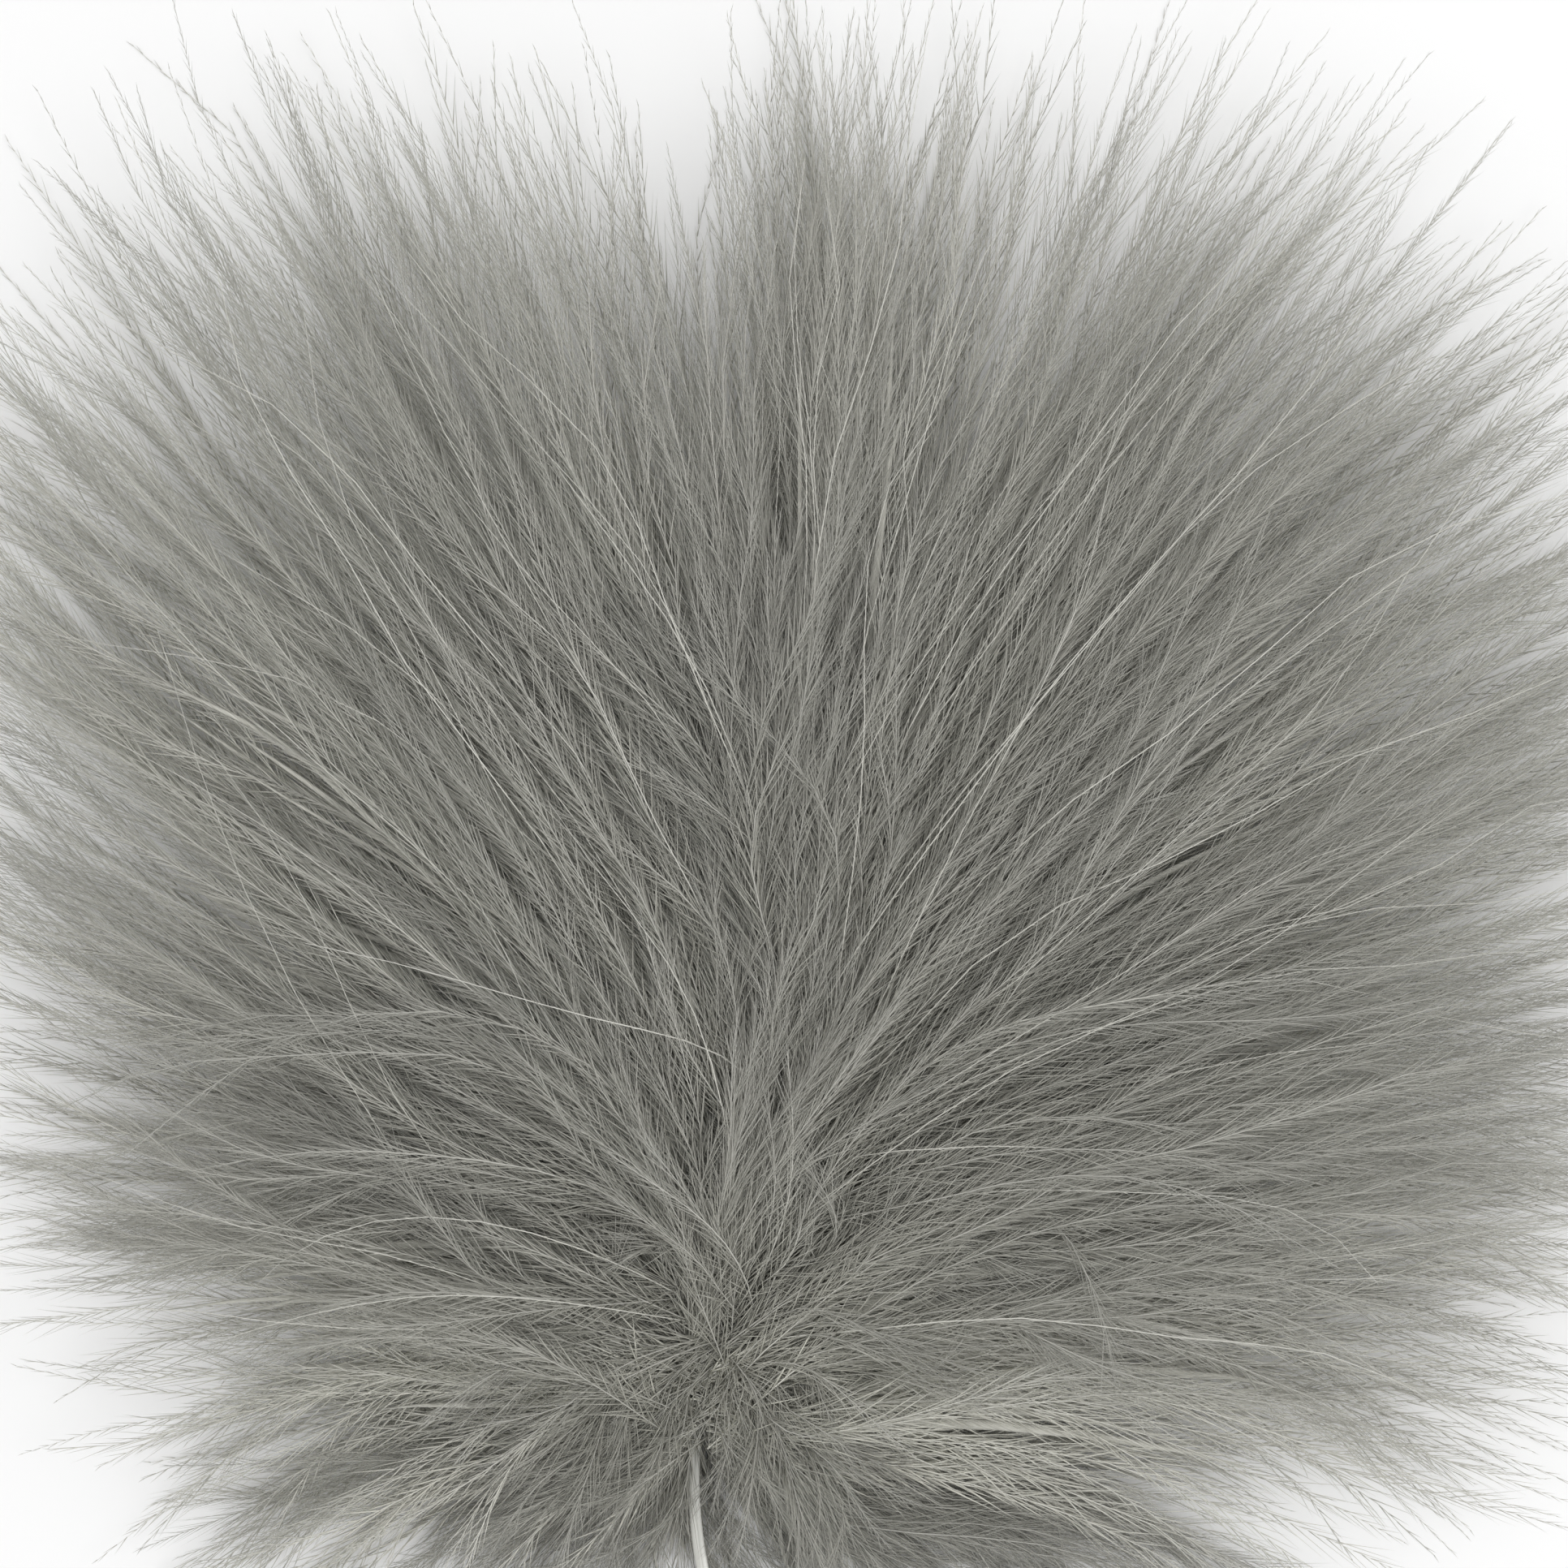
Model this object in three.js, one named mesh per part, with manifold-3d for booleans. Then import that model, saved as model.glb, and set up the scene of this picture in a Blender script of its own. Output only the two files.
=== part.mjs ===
// A single marabou feather lying on a table, as one solid: a bent, tapering shaft with the down
// that grows from it gathered in locks. Millimetres, +Z up, the tip of the feather towards +Y.
// Four tiers of locks overlap: a crown that arches over the shaft, a middle tier, a skirt that
// lies along the table, and short base down round the top of the bare quill.
import * as THREE from "three";
import { mergeVertices } from "three/addons/utils/BufferGeometryUtils.js";
import Module from "manifold-3d";

// Driving dimensions.
const QUILL_REACH = 59; // from the middle of the table to the quill's cut end
const QUILL_RADIUS = 0.62;
const SHAFT_TIP_RADIUS = 0.22;
const QUILL_END_WIDTH = 0.5; // share of the quill's full width at its very end
const QUILL_END_SHARE = 0.05; // of the shaft's length, in which the quill reaches full width
const SHAFT_TAPER = 0.8; // below 1, the shaft thins faster near the quill
const LOCK_ROOT_WIDTH = 0.28; // share of a lock's full width where it leaves the shaft
const LOCK_WIDEST = 1.15; // above 1, a lock is widest past its middle
const LOCK_FULLNESS = 0.8; // below 1, a lock's sides are fuller than a sine curve

// The shaft's centre line: a cubic curve from the cut end of the quill to its hidden tip.
const QUILL_END = new THREE.Vector3(0, -QUILL_REACH, QUILL_RADIUS);
const SHAFT_BEND_LOW = new THREE.Vector3(-19, -28, 3.4);
const SHAFT_BEND_HIGH = new THREE.Vector3(15, -12, 6.2);
const SHAFT_TIP = new THREE.Vector3(8, 26, 6.4);
const shaftLine = new THREE.CubicBezierCurve3(
  QUILL_END,
  SHAFT_BEND_LOW,
  SHAFT_BEND_HIGH,
  SHAFT_TIP,
);

// The plume's outline seen from above, from the middle of the fan: the angle in degrees from
// straight ahead, with the left side negative, and how far the plume reaches there. It has
// square shoulders, a flatter front on the left and a tuft a little right of the middle.
const FAN_MIDDLE = new THREE.Vector2(0.5, -9.5);
const OUTLINE = [
  [-180, 40],
  [-150, 46],
  [-130, 52],
  [-110, 56],
  [-90, 56],
  [-70, 60],
  [-50, 67],
  [-38, 69],
  [-20, 62],
  [-6, 62],
  [8, 69],
  [22, 66],
  [38, 69],
  [54, 66],
  [70, 60],
  [90, 56],
  [110, 56],
  [130, 51],
  [150, 45],
  [180, 40],
];

// The crown, the middle tier, the skirt and the base. Each has as many locks on one side of the
// shaft as on the other. Angles are in degrees from straight ahead and run from its foremost
// lock to its outermost, as do the shares of the shaft's length where they grow. Heights are
// those of a lock's two bends and of its tip. reach is a share of the outline's.
const TIERS = [
  { locks: 12, fan: [-4, 114], grows: [0.8, 0.42], heights: [14.5, 16, 9], reach: 0.95 },
  { locks: 11, fan: [-2, 130], grows: [0.72, 0.31], heights: [8, 7.5, 4.6], reach: 0.97 },
  { locks: 10, fan: [-3, 152], grows: [0.6, 0.24], heights: [3.4, 0.2, 0.9], reach: 0.95 },
  { locks: 4, fan: [174, 138], grows: [0.25, 0.21], heights: [2, 0.8, 1], reach: 1.04 },
];
const LOCK_HALF_WIDTH = 3.3;
const LOCK_HALF_THICKNESS = 1.2;
const LEAN = 0.4; // share of its final angle at which the foremost lock leaves the shaft
const LEAN_BEHIND = 0.75; // the same for a lock that points straight back
const SWEEP = 12; // degrees that a lock's tip bends outwards
const BEND_SHARE = 0.34; // of a lock's length, from each end to the bend near it
const ANGLE_SPREAD = 4; // degrees that a lock may stray from an even fan
const REACH_SPREAD = 0.07;
const HEIGHT_SPREAD = 2;
const TIP_HEIGHT_SPREAD = 0.35; // share of a tip's height

// How finely the solid is faceted.
const LOCK_SIDES = 5;
const LOCK_SHARES = [0, 0.12, 0.3, 0.5, 0.7, 0.87, 1];
const SHAFT_SIDES = 10;
const SHAFT_SHARES = [0, 0.006, 0.03, 0.08, 0.15, 0.22, 0.29, 0.36, 0.44, 0.52, 0.6, 0.7, 0.8, 0.9, 1];
const SAME_CORNER = 1e-4; // corners closer than this are one
const TABLE_SIDE = 400;
const TABLE_DEPTH = 20;

// A repeatable number from -1 to 1 for lock number n, another for each kind of variation.
function stray(n, kind) {
  const wave = Math.sin(n * 12.9898 + kind * 78.233) * 43758.5453;
  return 2 * (wave - Math.floor(wave)) - 1;
}

// A level direction, by its angle in degrees from +Y towards +X.
function heading(degrees) {
  const a = THREE.MathUtils.degToRad(degrees);
  return new THREE.Vector3(Math.sin(a), Math.cos(a), 0);
}

// How far the plume reaches from the middle of the fan at that angle, between the outline's
// own angles in even proportion.
function outlineReach(degrees) {
  const angle = THREE.MathUtils.euclideanModulo(degrees + 180, 360) - 180;
  const after = Math.max(1, OUTLINE.findIndex(([end]) => end >= angle));
  const [start, startReach] = OUTLINE[after - 1];
  const [end, endReach] = OUTLINE[after];
  return THREE.MathUtils.mapLinear(angle, start, end, startReach, endReach);
}

// The centre line of one lock, from inside the shaft to its tip. side is -1 or 1.
function lockLine(tier, side, index, number) {
  const outward = (index + 0.5) / tier.locks;
  const angle = side * THREE.MathUtils.lerp(...tier.fan, outward) + ANGLE_SPREAD * stray(number, 1);
  const root = shaftLine.getPoint(THREE.MathUtils.lerp(...tier.grows, outward));
  const reach = outlineReach(angle) * (tier.reach + REACH_SPREAD * stray(number, 2));
  const lift = HEIGHT_SPREAD * stray(number, 3);
  const tipHeight = tier.heights[2] * (1 + TIP_HEIGHT_SPREAD * stray(number, 4));
  const tip = heading(angle).multiplyScalar(reach);
  tip.add(new THREE.Vector3(FAN_MIDDLE.x, FAN_MIDDLE.y, tipHeight));
  const bend = BEND_SHARE * Math.hypot(tip.x - root.x, tip.y - root.y);
  const lean = THREE.MathUtils.lerp(LEAN, LEAN_BEHIND, Math.abs(angle) / 180);
  const leaving = heading(angle * lean).multiplyScalar(bend).add(root);
  leaving.z = tier.heights[0] + lift;
  const arriving = heading(angle + side * SWEEP).multiplyScalar(-bend).add(tip);
  arriving.z = tier.heights[1] + lift;
  return new THREE.CubicBezierCurve3(root, leaving, arriving, tip);
}

// A closed spindle turned about +Y, with a ring of corners at each share of its length, whose
// corners are then carried onto a curve. profile gives the radius at each share, which is
// stretched by width to the sides and by thickness up and down.
function bentSpindle(line, profile, shares, sides, width, thickness) {
  const outline = shares.map((share) => {
    const inside = share > 0 && share < 1;
    return new THREE.Vector2(inside ? profile(share) : 0, share);
  });
  const turned = new THREE.LatheGeometry(outline, sides);
  turned.deleteAttribute("normal");
  turned.deleteAttribute("uv");
  const solid = mergeVertices(turned, SAME_CORNER);
  const corners = solid.getAttribute("position");
  const up = new THREE.Vector3(0, 0, 1);
  for (let i = 0; i < corners.count; i += 1) {
    const share = THREE.MathUtils.clamp(corners.getY(i), 0, 1);
    const ahead = line.getTangent(share);
    const sideways = new THREE.Vector3().crossVectors(ahead, up).normalize();
    const lifted = new THREE.Vector3().crossVectors(sideways, ahead);
    const place = line.getPoint(share);
    place.addScaledVector(sideways, corners.getX(i) * width);
    place.addScaledVector(lifted, corners.getZ(i) * thickness);
    corners.setXYZ(i, place.x, place.y, place.z);
  }
  return solid;
}

// A lock is narrow where it grows, widest past its middle, and ends in a point.
function lockProfile(share) {
  const swell = Math.sin(Math.PI * share ** LOCK_WIDEST) ** LOCK_FULLNESS;
  const narrow = LOCK_ROOT_WIDTH * (1 - share);
  return narrow + (1 - narrow) * swell;
}

// The shaft tapers from the quill, whose own end draws in a little, to a fine tip.
function shaftProfile(share) {
  const taper = THREE.MathUtils.lerp(1, SHAFT_TIP_RADIUS / QUILL_RADIUS, share ** SHAFT_TAPER);
  const end = Math.min(1, QUILL_END_WIDTH + share / QUILL_END_SHARE);
  return taper * end;
}

const wasm = await Module();
wasm.setup();

// A closed three.js geometry as a solid that can be joined and cut.
function solidOf(geometry) {
  const corners = new Float32Array(geometry.getAttribute("position").array);
  const faces = new Uint32Array(geometry.index.array);
  const solid = new wasm.Manifold(
    new wasm.Mesh({ numProp: 3, vertProperties: corners, triVerts: faces }),
  );
  if (solid.volume() > 0) {
    return solid;
  }
  for (let i = 0; i < faces.length; i += 3) {
    [faces[i + 1], faces[i + 2]] = [faces[i + 2], faces[i + 1]];
  }
  return new wasm.Manifold(
    new wasm.Mesh({ numProp: 3, vertProperties: corners, triVerts: faces }),
  );
}

// A solid as a three.js geometry again.
function geometryOf(solid) {
  const mesh = solid.getMesh();
  const geometry = new THREE.BufferGeometry();
  geometry.setAttribute("position", new THREE.BufferAttribute(mesh.vertProperties, 3));
  geometry.setIndex(new THREE.BufferAttribute(mesh.triVerts, 1));
  return geometry;
}

// The shaft by itself.
function shaftSolid() {
  const radius = QUILL_RADIUS;
  return solidOf(
    bentSpindle(shaftLine, shaftProfile, SHAFT_SHARES, SHAFT_SIDES, radius, radius),
  );
}

// One lock by itself.
function lockSolid(line) {
  const width = LOCK_HALF_WIDTH;
  const thickness = LOCK_HALF_THICKNESS;
  return solidOf(bentSpindle(line, lockProfile, LOCK_SHARES, LOCK_SIDES, width, thickness));
}

// All locks, joined with the shaft that they grow from.
function featherSolid() {
  let feather = shaftSolid();
  let number = 0;
  for (const tier of TIERS) {
    for (const side of [-1, 1]) {
      for (let index = 0; index < tier.locks; index += 1) {
        feather = feather.add(lockSolid(lockLine(tier, side, index, number)));
        number += 1;
      }
    }
  }
  return feather;
}

// The down that touches the table is pressed flat against it: what would reach below is cut off.
function restedOnTable(solid) {
  const slab = new THREE.BoxGeometry(TABLE_SIDE, TABLE_SIDE, TABLE_DEPTH);
  slab.translate(0, 0, -TABLE_DEPTH / 2);
  slab.deleteAttribute("normal");
  slab.deleteAttribute("uv");
  const rested = solid.subtract(solidOf(mergeVertices(slab)));
  return rested.decompose().reduce((a, b) => (b.volume() > a.volume() ? b : a));
}

const down = new THREE.MeshStandardMaterial({ color: 0x8a8983, roughness: 0.85, metalness: 0 });
const feather = new THREE.Mesh(geometryOf(restedOnTable(featherSolid())), down);
feather.name = "marabou_feather";
feather.geometry.computeBoundingBox();
const footprint = feather.geometry.boundingBox.getCenter(new THREE.Vector3());
feather.position.set(-footprint.x, -footprint.y, 0);

const root = new THREE.Group();
root.add(feather);

export default root;
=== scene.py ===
"""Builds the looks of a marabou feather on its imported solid: a pale quill, dense inner down, and
barbs with their barbules, as fine closed meshes. All guide sizes below are in millimetres."""

import math

import bpy
import numpy as np
from bpy.props import FloatProperty, FloatVectorProperty, IntProperty, PointerProperty
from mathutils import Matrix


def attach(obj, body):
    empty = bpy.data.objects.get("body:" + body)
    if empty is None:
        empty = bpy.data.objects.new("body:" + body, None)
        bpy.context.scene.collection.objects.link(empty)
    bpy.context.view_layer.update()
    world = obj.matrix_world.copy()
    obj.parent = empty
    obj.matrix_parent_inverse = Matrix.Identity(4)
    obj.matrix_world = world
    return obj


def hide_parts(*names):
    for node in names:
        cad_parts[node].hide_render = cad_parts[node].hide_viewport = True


bl_info = {
    "name": "Marabou Feather",
    "version": (1, 0, 0),
    "blender": (4, 5, 0),
    "location": "3D View > Sidebar > Feather",
    "description": "Builds a marabou feather barb by barb on its solid model",
    "category": "Mesh",
}

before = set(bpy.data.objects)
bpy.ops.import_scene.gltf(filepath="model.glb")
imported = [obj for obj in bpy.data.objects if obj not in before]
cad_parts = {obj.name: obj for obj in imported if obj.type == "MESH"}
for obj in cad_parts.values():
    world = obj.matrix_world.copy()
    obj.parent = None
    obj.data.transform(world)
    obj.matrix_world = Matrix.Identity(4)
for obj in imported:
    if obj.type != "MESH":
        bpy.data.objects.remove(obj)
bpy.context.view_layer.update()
NODE = "marabou_feather"
BODY = "root"
MM = 0.001
FRAME_MIDDLE = (0, 5, 8)  # where the camera looks straight down, at the down's middle height

# The stage, in metres.
TABLE_HALF = 3.0
LAMP_PLACE = (0.45, -0.1, 0.7)
LAMP_SIZE = 0.5
NEAREST, FURTHEST = 0.01, 20  # what the camera takes in
SENSOR = 36  # its width in millimetres

# The guide lines. The shaft, the outline's reaches, and each tier's locks, fan, heights and
# reach are the solid's own. Where the locks grow, how they lean and the ways that their tips
# point are finer here.
QUILL_REACH = 59
QUILL_RADIUS = 0.62
SHAFT_TIP_RADIUS = 0.22
SHAFT_TAPER = 0.8  # below 1, the shaft thins faster near the quill
# The share of its full width that the quill has at its very end, and the share of the shaft's
# length in which it would widen by its full width.
QUILL_END_WIDTH, QUILL_END_SHARE = 0.5, 0.05
SHAFT_LINE = np.array(
    [[0, -QUILL_REACH, QUILL_RADIUS], [-19, -28, 3.4], [15, -12, 6.2], [8, 26, 6.4]]
)
# The plume's outline from the middle of the fan: the angle in degrees from straight ahead, how
# far it reaches there, and the direction in which its down points.
FAN_MIDDLE = np.array([0.5, -9.5])
OUTLINE = [
    (-180, 40, -178), (-150, 46, -138), (-130, 52, -112), (-110, 56, -90), (-90, 56, -68),
    (-70, 60, -56), (-50, 67, -44), (-38, 69, -36), (-20, 62, -20), (-6, 62, -4),
    (8, 69, 4), (22, 66, 26), (38, 69, 46), (54, 66, 58), (70, 60, 66),
    (90, 56, 84), (110, 56, 102), (130, 51, 122), (150, 45, 145), (180, 40, 178),
]
# Each tier's locks on one side of the shaft, the angles of the first and the last of them, the
# shares of the shaft's length where those grow, the heights of a lock's two bends and of its tip,
# and its share of the outline's reach.
TIERS = {
    "crown": {
        "locks": 12, "fan": (-4, 114), "grows": (0.62, 0.36), "heights": (14.5, 16, 9), "reach": 0.95
    },
    "middle": {
        "locks": 11, "fan": (-2, 130), "grows": (0.57, 0.29), "heights": (8, 7.5, 4.6), "reach": 0.97
    },
    "skirt": {
        "locks": 10, "fan": (-3, 152), "grows": (0.5, 0.24), "heights": (3.4, 0.2, 0.9), "reach": 0.95
    },
    "base": {
        "locks": 4, "fan": (174, 138), "grows": (0.27, 0.22), "heights": (2, 0.8, 1), "reach": 1.04
    },
}
# How far apart the barbules are, and how wide, against the settings: finest where they show.
FINENESS = {
    "crown": (0.93, 0.9),
    "middle": (1.38, 1.2),
    "skirt": (1.75, 1.5),
    "base": (0.75, 0.75),
    "mantle": (0.85, 0.8),
    "loose": (1.6, 0.8),
}
LEAN = 0.4  # share of its final angle at which a lock that points ahead leaves the shaft
LEAN_BEHIND = 0.8  # the same for a lock that points straight back
BEND_SHARE = 0.34  # of a lock's length, from each end to the bend near it
ANGLE_SPREAD = 4
REACH_SPREAD = 0.07
HEIGHT_SPREAD = 2
TIP_HEIGHT_SPREAD = 0.35
LOCK_LIFTS = np.array([0, 1.3, 1.9, 1.6])  # from a lock's middle to its top, at its four corners
SIDES = {"left": -1, "right": 1}

# How the barbs lie about the guide lines.
BARB_POINTS = 11
CLUMP = 0.3  # how far a lock's barbs draw together towards its own tip
OVERLAP = 1.8  # above 1, the barbs of neighbouring locks mingle
# How a barb that is set back starts: how far across the shaft and how much less turned, for each
# share of the shaft's length, and how much higher.
OVER_SHAFT, SET_BACK_LEAN, SET_BACK_RISE = 9, 3, 1.2
LOWEST = 0.12  # height of the lowest fibre's middle above the table
FIRST_DOWN = (0.24, 0.31)  # the share of the shaft's length where the down may start
BARE_RADIUS = 0.47  # of the horny quill itself, inside the solid's
BARE_QUILL = -36.2  # how far forward the quill is bare, and the down keeps off it
BARE_QUILL_BLEND = (-2, 3)  # where, from there, the down starts to keep off it and fully does
QUILL_GAP = 0.95
QUILL_RINGS, QUILL_SIDES = 70, 24
QUILL_SQUEEZE = 0.92  # its height against its width
GROOVE_AT, GROOVE_WIDTH = math.radians(62), 0.35  # round the quill, from its right side
# Where the down's finest tips spill over the outline, or stay short of it: the middle and the
# half width of the place in degrees, and how far, as a share of the reach.
SPILLS = [
    (-54, 26, 0.14), (-16, 20, -0.02), (8, 12, -0.05),
    (84, 30, 0.17), (-128, 16, 0.07), (130, 16, 0.08),
]
# Shares of each tier's tufts that end early, on top of the others, and how far all of them
# lie above the middle of their lock, or below it.
SHORT_TUFTS = {"crown": 0.4, "middle": 0.25, "skirt": 0.1, "base": 0.3}
BARB_RISE = {"crown": -1.4, "middle": 0.0, "skirt": 0.2, "base": -0.2}
# Small tufts over the shaft, on both sides of its lower part, beside the quill, and left of its
# tip: how many, the shares of the shaft's length where they grow, how far to its right with the
# spread, the angle at which they point with its spread, their lengths, the heights of a barb's
# bends and tip, and how much darker they are painted, as painted shade where the light falls
# strongly on them.
MANTLES = [
    (20, (0.3, 0.6), (0, 2.2), (-4, 17), (15, 34), (11, 13.2, 12.2), 0),
    (11, (0.3, 0.46), (-3, 4), (-70, 34), (12, 24), (8.5, 11.5, 9), 0.4),
    (11, (0.3, 0.46), (3, 4), (70, 34), (12, 24), (8.5, 11.5, 9), 0.4),
    (12, (0.27, 0.36), (-3, 1.8), (-140, 26), (9, 17), (8.4, 7, 2.5), 1.2),
    (12, (0.27, 0.36), (3, 2), (135, 28), (9, 17), (8.4, 7, 2.5), 1.2),
    (4, (0.62, 0.72), (-4.5, 0.7), (-3, 5), (26, 34), (12.5, 13.6, 12.5), 0.2),
]
# The share of the upper tufts that lie across the others, and the single bare barbs.
ACROSS = 0.14
BARE_BARBS = 46
WIDE_FROM, WIDE_ROOM = 54, 9  # where tips at the sides start to crowd, and in what width
HIGHEST = 15.2  # height that barbs' stems keep below
CEILING = 16.0  # and their barbules
PRESSED = 0.15  # height below which down that would reach into the table lies flat on it

# How tufts lie in their lock: the shares of the reach at which they end, their level, which is
# from -1 at its foot to 1 at its top, and how far they swerve, in degrees, and curl.
LONG_END, LONG_SHORTFALL = 1.06, 0.14
EARLY_ENDS, EARLY_LEVELS = (0.5, 0.9), (0.2, 1)
ACROSS_ENDS, ACROSS_LEVELS = (0.45, 0.8), (0.8, 1.6)
SWERVES = {"long": 4, "early": 8, "across": 16}
CURLS = {"long": 3, "early": 3, "across": 4.5}
COVERING = 0.45  # the share of the upper tufts that are set back, and so cover the shaft
SET_BACK, SET_FORWARD = (0.02, 0.13), (-0.05, 0)
STRAIGHT, BASE_STRAIGHT = (0, 0.3), (0.2, 1)
# How far apart the barbs of a tuft are: across the lock, along the shaft, in degrees, as a
# share of their length, and in level.
BARBS_ACROSS, BARBS_ALONG, BARBS_TURN, BARBS_SHORTER, BARBS_LEVEL = 0.16, 0.008, 2.5, 0.14, 0.25
# The same for the mantle's tufts, whose barbs first rise from the shaft and then bend twice.
MANTLE_ALONG, MANTLE_BESIDE, MANTLE_TURN, MANTLE_LEVEL = 0.012, 0.6, 5, 0.4
MANTLE_RISE, MANTLE_BENDS = 0.4, (0.3, 0.35)
MANTLE_SEED, STRAND_SEED = 500, 900

# How a barb strays from its guide line: where it starts, the lengths of its waves, how far it
# swings and bobs in them, how far it bows aside and up, and from where to where along it curls.
# A wisp is a finer barb that ends late.
BARB_START = 0.01
WAVE_LENGTHS, SWING, BOB = (18, 40), (0.3, 1.2), (0.2, 0.55)
BOW, ARCH = 1.1, 0.7
CURLS_ALONG, CURL_SPREAD, WISP_CURL_SPREAD = (0.35, 1.25), 1.2, 2.0
WISPS, WISP_END, WISP_WIDTH, WISP_FRINGE = 0.12, 1.04, 0.8, 0.5
# The spread of a barb's width, its taper, the spread of its fringe of barbules, where along it
# that starts and fades, from what length of barb it is full, and what is left of it elsewhere.
WIDTHS, TAPER = (0.7, 1.2), 0.62
FRINGES, FRINGE_STARTS, FRINGE_FADES = (0.75, 1.25), (0.0, 0.1), (0.8, 1.0)
FULL_LENGTH, LEAST_FRINGE = 16, 0.55
# A barb that rises in its lock is painted darker, and one that sinks lighter: painted shade and light
# that even out the shade between the top and the depths of a lock.
TINTS, PAINTED_SHADE_BY_RISE = (0.1, 0.9), 0.6  # a barb's own tint, and the painted shade on the topmost
BARBULE_LENGTHS = (0.6, 1.2)  # as shares of the fringe
BARBULE_CLOSING, BARBULE_FLATNESS = 0.45, 0.2
# The single bare barbs: their lengths, how far set back and turned, how high, and their looks,
# with the painted highlight that lightens them.
BARE_LENGTHS, BARE_SET_BACK, BARE_TURN, BARE_LEVELS = (0.7, 1.02), (0, 0.1), 13, (0.2, 0.8)
BARE_FRINGE, BARE_FRINGE_MORE, BARE_PAINTED_HIGHLIGHT, BARE_WIDTH = 0.4, 0.3, 1.8, 1.2

# The matted strands of the dense inner down.
STRANDS_PER_LOCK, STRAND_RINGS, STRAND_SIDES = 8, 7, 5
STRAND_LENGTHS, STRAND_SET_BACK, STRAND_TURN = (0.85, 1.0), (-0.05, 0.08), 3
CROWN_DROP, OTHER_DROP = (-3.4, -2.2), (-2.2, -1)  # how far below the middle of their lock
STRAND_START, STRAND_RUN = 0.01, 0.74  # as shares of their lock
STRAND_SWING, STRAND_WAVE = (0.2, 1.0), 7
STRAND_RADII, STRAND_SQUEEZE, STRAND_LOWEST = (0.22, 0.42), 0.5, 0.4

# Dyed down: how bright it is, how much a barb's tint with its painted shade, the patches and the
# streaks add, and how much of the painted light near the shaft, in place of light that seeps from
# barb to barb, is gone at the tip.
BRIGHTNESS, UNEVENNESS, PAINTED_LIGHT_FADE = 0.82, 0.17, 0.8
# Painted light that lifts the shade of the middle and skirt tiers near the shaft, and painted shade
# that darkens the base tier at the quill.
INNER_PAINTED_LIGHT, BASE_PAINTED_SHADE = 0.72, -0.14
NOISE_RANGE = {"From Min": 0.3, "From Max": 0.7}  # where a noise texture's values mostly lie
BUMP_DEPTH = 0.1
MATH = "ShaderNodeMath"


def linear(colour):
    """A #rrggbb colour, which is sRGB, as the linear values that Blender works in."""
    parts = [int(colour[i : i + 2], 16) / 255 for i in (1, 3, 5)]
    return tuple(p / 12.92 if p <= 0.04045 else ((p + 0.055) / 1.055) ** 2.4 for p in parts)


def stray(number, kind):
    """A repeatable number from -1 to 1 for lock number number, as in the solid's source."""
    wave = math.sin(number * 12.9898 + kind * 78.233) * 43758.5453
    return 2 * (wave - math.floor(wave)) - 1


def heading(degrees):
    """A level direction, by its angle from +Y towards +X."""
    return np.array([math.sin(math.radians(degrees)), math.cos(math.radians(degrees))])


def between(pair, share):
    """The value at that share of the way from a pair's first to its second."""
    return pair[0] + (pair[1] - pair[0]) * share


def curve_at(corners, shares):
    """Points of a cubic curve at those shares of its run."""
    t = np.asarray(shares, float)[:, None]
    a, b, c, d = corners
    return (1 - t) ** 3 * a + 3 * t * (1 - t) ** 2 * b + 3 * t**2 * (1 - t) * c + t**3 * d


def outline_at(degrees):
    """How far the plume reaches from the middle of the fan at that angle, and the direction in
    which its down points there."""
    angle = (degrees + 180) % 360 - 180
    angles, reaches, directions_there = zip(*OUTLINE)
    spill = sum(
        share * math.exp(-(((angle - middle) / half) ** 2)) for middle, half, share in SPILLS
    )
    reach = float(np.interp(angle, angles, reaches)) * (1 + spill)
    return reach, float(np.interp(angle, angles, directions_there))


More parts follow.
